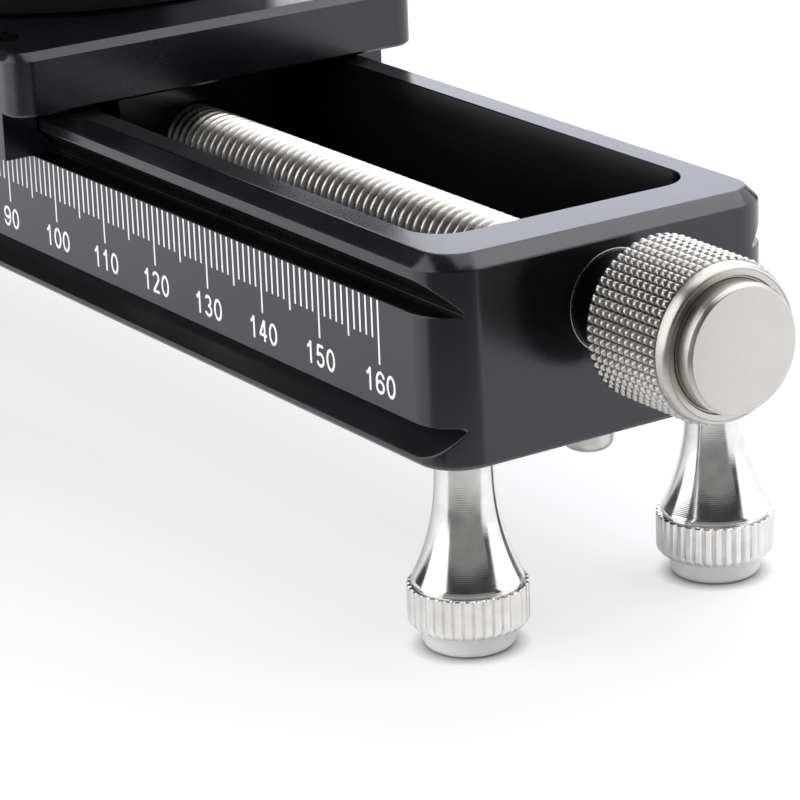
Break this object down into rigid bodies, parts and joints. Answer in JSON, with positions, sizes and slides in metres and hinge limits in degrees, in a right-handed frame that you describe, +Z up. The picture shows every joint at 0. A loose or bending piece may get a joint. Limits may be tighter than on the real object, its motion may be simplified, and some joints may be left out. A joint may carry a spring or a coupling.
{
  "type": "macro focusing rail",
  "caption": "Macro focusing rail: milled frame on turned feet, lead screw with a knob at each end, and a dovetail carriage with a panning quick-release clamp.",
  "frame": {"origin": "mouth of the middle tripod socket, on the underside of the frame, midway along it", "axes": "+X along the rail towards the knob that the picture shows, -Y towards the side with the scale, +Z up"},
  "size_m": [0.2172, 0.0771, 0.068],
  "materials": {
    "black_anodised": "bead-blasted, black anodised",
    "black_steel": "black oxide",
    "blasted_steel": "bead-blasted stainless steel",
    "polished_steel": "turned and polished stainless steel",
    "screw_steel": "rolled stainless steel",
    "bronze": "turned bronze",
    "plated_shell": "tin-plated steel shell, bronze lining",
    "grey_pad": "matte grey",
    "white_slide": "low-friction plastic strip"
  },
  "bodies": {
    "rail": {"rail_body": "black_anodised", "bush_right": "plated_shell", "bush_left": "plated_shell", "stop_studs": "blasted_steel", "foot_near_right": "polished_steel", "foot_near_left": "polished_steel", "foot_far_right": "polished_steel", "foot_far_left": "polished_steel", "pad_near_right": "grey_pad", "pad_near_left": "grey_pad", "pad_far_right": "grey_pad", "pad_far_left": "grey_pad"},
    "screw": {"lead_screw": "screw_steel", "collar_right": "black_steel", "collar_left": "black_steel", "knob_right": "blasted_steel", "knob_left": "blasted_steel", "knob_cap_right": "blasted_steel", "knob_cap_left": "blasted_steel", "knob_screws": "screw_steel"},
    "carriage": {"carriage_plate": "black_anodised", "guide_near": "black_anodised", "guide_far": "black_anodised", "guide_screws": "black_steel", "gib_strip": "bronze", "gib_screws": "black_steel", "slide_pads": "white_slide", "nut_block": "black_anodised", "lead_nut": "bronze", "nut_block_screws": "black_steel", "pan_base": "black_anodised", "pan_base_screws": "black_steel"},
    "carriage_lock": {"carriage_lock_knob": "blasted_steel", "carriage_lock_screw": "screw_steel"},
    "pan_lock": {"pan_lock_knob": "blasted_steel", "pan_lock_screw": "screw_steel"},
    "clamp": {"clamp_body": "black_anodised", "pan_washer": "white_slide", "pan_retainer": "screw_steel", "pan_bolt": "screw_steel", "guide_pins": "screw_steel"},
    "jaw": {"clamp_jaw": "black_anodised"},
    "jaw_screw": {"clamp_screw": "screw_steel", "clamp_screw_ring": "screw_steel", "clamp_washer": "screw_steel", "clamp_knob": "blasted_steel", "clamp_knob_cap": "blasted_steel"}
  },
  "joints": [
    {"name": "focus_screw_turn", "type": "hinge", "parent": "rail", "child": "screw", "pos_m": [0, 0, 0.0128], "axis": [1, 0, 0], "range_deg": [-18577, 12817]},
    {"name": "carriage_slide", "type": "slide", "parent": "rail", "child": "carriage", "axis": [1, 0, 0], "range_m": [-0.0445, 0.0645]},
    {"name": "carriage_lock_turn", "type": "hinge", "parent": "carriage", "child": "carriage_lock", "pos_m": [-0.01, 0.025, 0.0169], "axis": [0, 1, 0], "range_deg": [-70, 290]},
    {"name": "pan_turn", "type": "hinge", "parent": "carriage", "child": "clamp", "pos_m": [-0.01, 0, 0.035], "axis": [0, 0, 1], "continuous": true},
    {"name": "pan_lock_turn", "type": "hinge", "parent": "carriage", "child": "pan_lock", "pos_m": [-0.01, -0.025, 0.0303], "axis": [0, -1, 0], "range_deg": [-70, 290]},
    {"name": "jaw_slide", "type": "slide", "parent": "clamp", "child": "jaw", "axis": [0, -1, 0], "range_m": [0, 0.006]},
    {"name": "clamp_screw_turn", "type": "hinge", "parent": "jaw", "child": "jaw_screw", "pos_m": [-0.01, -0.03, 0.0411], "axis": [0, -1, 0], "range_deg": [0, 2701]}
  ],
  "couplings": [
    {"joint": "focus_screw_turn", "follows": "carriage_slide", "rad_per_m": -5026.5},
    {"joint": "clamp_screw_turn", "follows": "jaw_slide", "rad_per_m": 7854}
  ]
}
